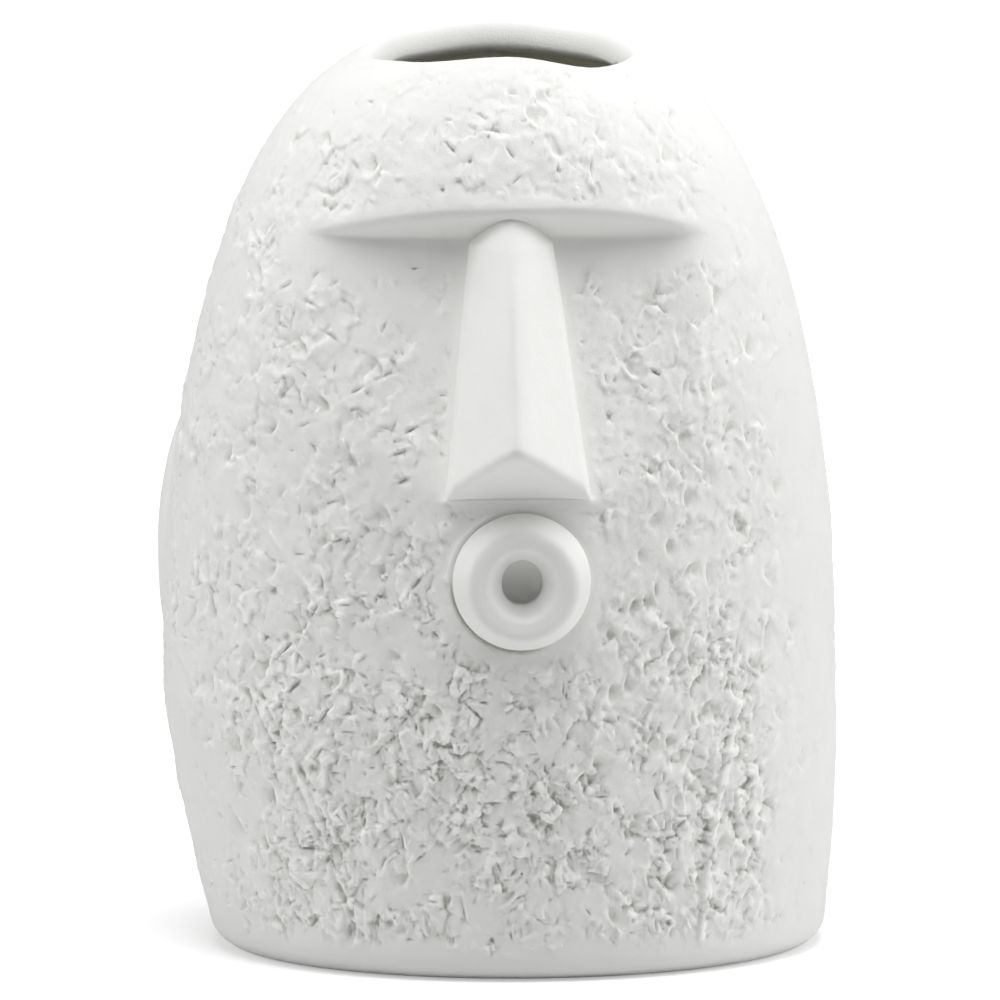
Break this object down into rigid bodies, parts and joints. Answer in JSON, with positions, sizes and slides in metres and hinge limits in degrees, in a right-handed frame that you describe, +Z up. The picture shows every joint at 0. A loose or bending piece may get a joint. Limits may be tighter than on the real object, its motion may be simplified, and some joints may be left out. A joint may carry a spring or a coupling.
{
  "type": "face vase",
  "caption": "Ceramic vase in the form of a rough stone head with a straight brow, wedge nose and round mouth, open at the crown to hold water and flowers.",
  "frame": {"origin": "on the ground, at the middle of the vase's bounding box", "axes": "+Z up through the opening in the crown, -Y the way the face looks, +X to the right of someone who looks at the face"},
  "size_m": [0.1476, 0.1257, 0.1972],
  "materials": {
    "bisque": "matte",
    "glaze": "gloss"
  },
  "bodies": {
    "root": {"body_shell": "bisque", "nose": "bisque", "mouth_ring": "bisque", "left_ear": "bisque", "right_ear": "bisque", "inner_glaze": "glaze"}
  },
  "joints": []
}
